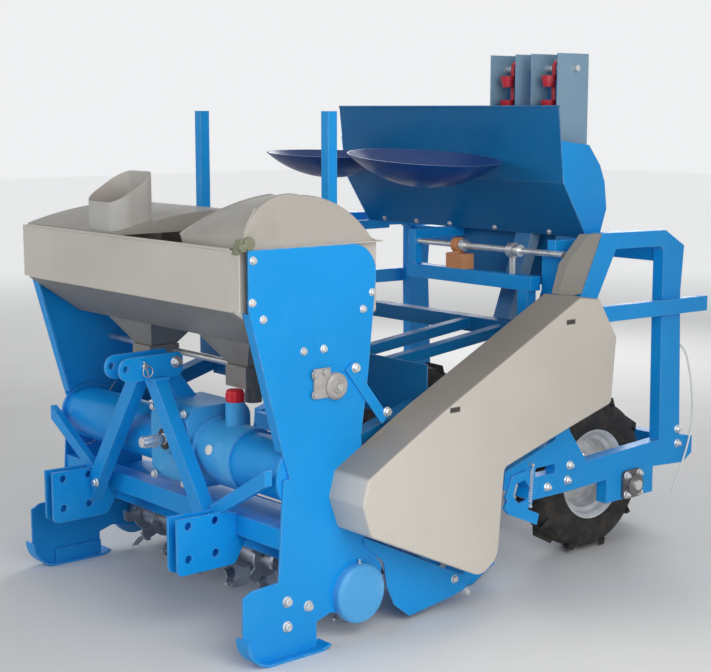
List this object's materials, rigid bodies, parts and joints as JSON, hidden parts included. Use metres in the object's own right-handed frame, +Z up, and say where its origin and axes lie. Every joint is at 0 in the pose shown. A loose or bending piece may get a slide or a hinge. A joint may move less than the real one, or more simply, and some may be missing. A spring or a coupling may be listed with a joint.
{
  "type": "potato planter",
  "caption": "Mounted potato planter: tiller rotor, fertilizer hopper and hitch in front, seed hopper with cup elevators, chain guard and drive wheels behind",
  "frame": {"origin": "on the ground under the middle of the machine's box", "axes": "+Z up, -Y toward the tractor, +X toward the machine's left side with the chain guard"},
  "size_m": [1.68, 2.4673, 1.99],
  "materials": {
    "blue_paint": "gloss",
    "deep_blue_paint": "gloss",
    "grey_paint": "satin",
    "bare_steel": "satin",
    "blade_steel": "worn",
    "tyre": "matte",
    "cup_red": "matte",
    "dark_plastic": "matte",
    "dark_steel": "satin",
    "pale_plastic": "matte",
    "white_cable": "matte",
    "tan_paint": "satin"
  },
  "bodies": {
    "frame": {"axle_bearings": "dark_steel", "cable": "white_cable", "chain_guard": "grey_paint", "cross_panel": "blue_paint", "cup_belts": "cup_red", "elevator_1": "blue_paint", "elevator_2": "blue_paint", "feed_bearing": "tan_paint", "feed_support": "blue_paint", "fertilizer_hopper": "grey_paint", "furrow_openers": "blue_paint", "gearbox": "blue_paint", "guard_stay": "blue_paint", "hopper_chutes": "dark_steel", "hopper_lips": "deep_blue_paint", "link_brackets": "blue_paint", "lower_hitch": "blue_paint", "main_tube": "blue_paint", "mast_head": "blue_paint", "mast_leg_left": "blue_paint", "mast_leg_right": "blue_paint", "metering_boxes": "dark_plastic", "posts": "blue_paint", "rear_bar": "blue_paint", "rear_cross_tube": "blue_paint", "rotor_bearings": "blue_paint", "rotor_hood": "blue_paint", "seed_hopper": "blue_paint", "seed_hopper_ends": "blue_paint", "seed_hopper_stand": "blue_paint", "shaft_guard": "grey_paint", "side_frame_left": "blue_paint", "side_frame_right": "blue_paint", "side_plate_left": "blue_paint", "side_plate_right": "blue_paint", "skid_left": "blue_paint", "skid_right": "blue_paint", "tail_board": "blue_paint", "tool_bar": "blue_paint", "under_sheet": "blue_paint", "upper_frame": "blue_paint"},
    "rotor": {"rotor": "blue_paint"},
    "input_shaft": {"input_shaft": "bare_steel"},
    "metering_shaft": {"metering_shaft": "bare_steel"},
    "lid_left": {"lid_left": "grey_paint"},
    "lid_right": {"lid_right": "grey_paint", "loose_shroud": "pale_plastic"},
    "feed_shaft": {"feed_shaft": "bare_steel"},
    "wheels": {"axle": "bare_steel", "rim_left": "bare_steel", "rim_right": "bare_steel", "tyre_left": "tyre", "tyre_right": "tyre"},
    "elevator_shaft_top": {"elevator_shaft_top": "bare_steel"},
    "elevator_shaft_foot": {"elevator_shaft_foot": "bare_steel"},
    "covering_disc_left": {"covering_disc_left": "blade_steel"},
    "covering_disc_right": {"covering_disc_right": "blade_steel"}
  },
  "joints": [
    {"name": "rotor_spin", "type": "hinge", "parent": "frame", "child": "rotor", "pos_m": [-0.035, -0.693, 0.16], "axis": [1, 0, 0], "continuous": true},
    {"name": "input_spin", "type": "hinge", "parent": "frame", "child": "input_shaft", "pos_m": [0.055, -1.033, 0.64], "axis": [0, 1, 0], "continuous": true},
    {"name": "metering_spin", "type": "hinge", "parent": "frame", "child": "metering_shaft", "pos_m": [-0.035, -0.79, 0.885], "axis": [1, 0, 0], "continuous": true},
    {"name": "lid_left_hinge", "type": "hinge", "parent": "frame", "child": "lid_left", "pos_m": [0.485, -0.603, 1.358], "axis": [-1, 0, 0], "range_deg": [0, 50]},
    {"name": "lid_right_hinge", "type": "hinge", "parent": "frame", "child": "lid_right", "pos_m": [-0.4, -0.603, 1.358], "axis": [-1, 0, 0], "range_deg": [0, 50]},
    {"name": "wheel_spin", "type": "hinge", "parent": "frame", "child": "wheels", "pos_m": [-0.035, 0.681, 0.32], "axis": [1, 0, 0], "continuous": true},
    {"name": "elevator_top_spin", "type": "hinge", "parent": "frame", "child": "elevator_shaft_top", "pos_m": [0.378, 0.485, 1.935], "axis": [1, 0, 0], "continuous": true},
    {"name": "elevator_foot_spin", "type": "hinge", "parent": "frame", "child": "elevator_shaft_foot", "pos_m": [0.378, 0.485, 1.56], "axis": [1, 0, 0], "continuous": true},
    {"name": "feed_spin", "type": "hinge", "parent": "frame", "child": "feed_shaft", "pos_m": [0.115, 0.327, 1.243], "axis": [1, 0, 0], "continuous": true},
    {"name": "disc_left_spin", "type": "hinge", "parent": "frame", "child": "covering_disc_left", "pos_m": [0.215, 1.062, 0.196], "axis": [0.9272, -0.3746, 0], "continuous": true},
    {"name": "disc_right_spin", "type": "hinge", "parent": "frame", "child": "covering_disc_right", "pos_m": [-0.285, 1.062, 0.196], "axis": [-0.9272, -0.3746, 0], "continuous": true}
  ],
  "couplings": [
    {"joint": "input_spin", "follows": "rotor_spin", "ratio": 2.2},
    {"joint": "metering_spin", "follows": "wheel_spin", "ratio": 0.8},
    {"joint": "feed_spin", "follows": "wheel_spin", "ratio": 1.2},
    {"joint": "elevator_top_spin", "follows": "wheel_spin", "ratio": 1.5},
    {"joint": "elevator_foot_spin", "follows": "wheel_spin", "ratio": 1.5}
  ]
}
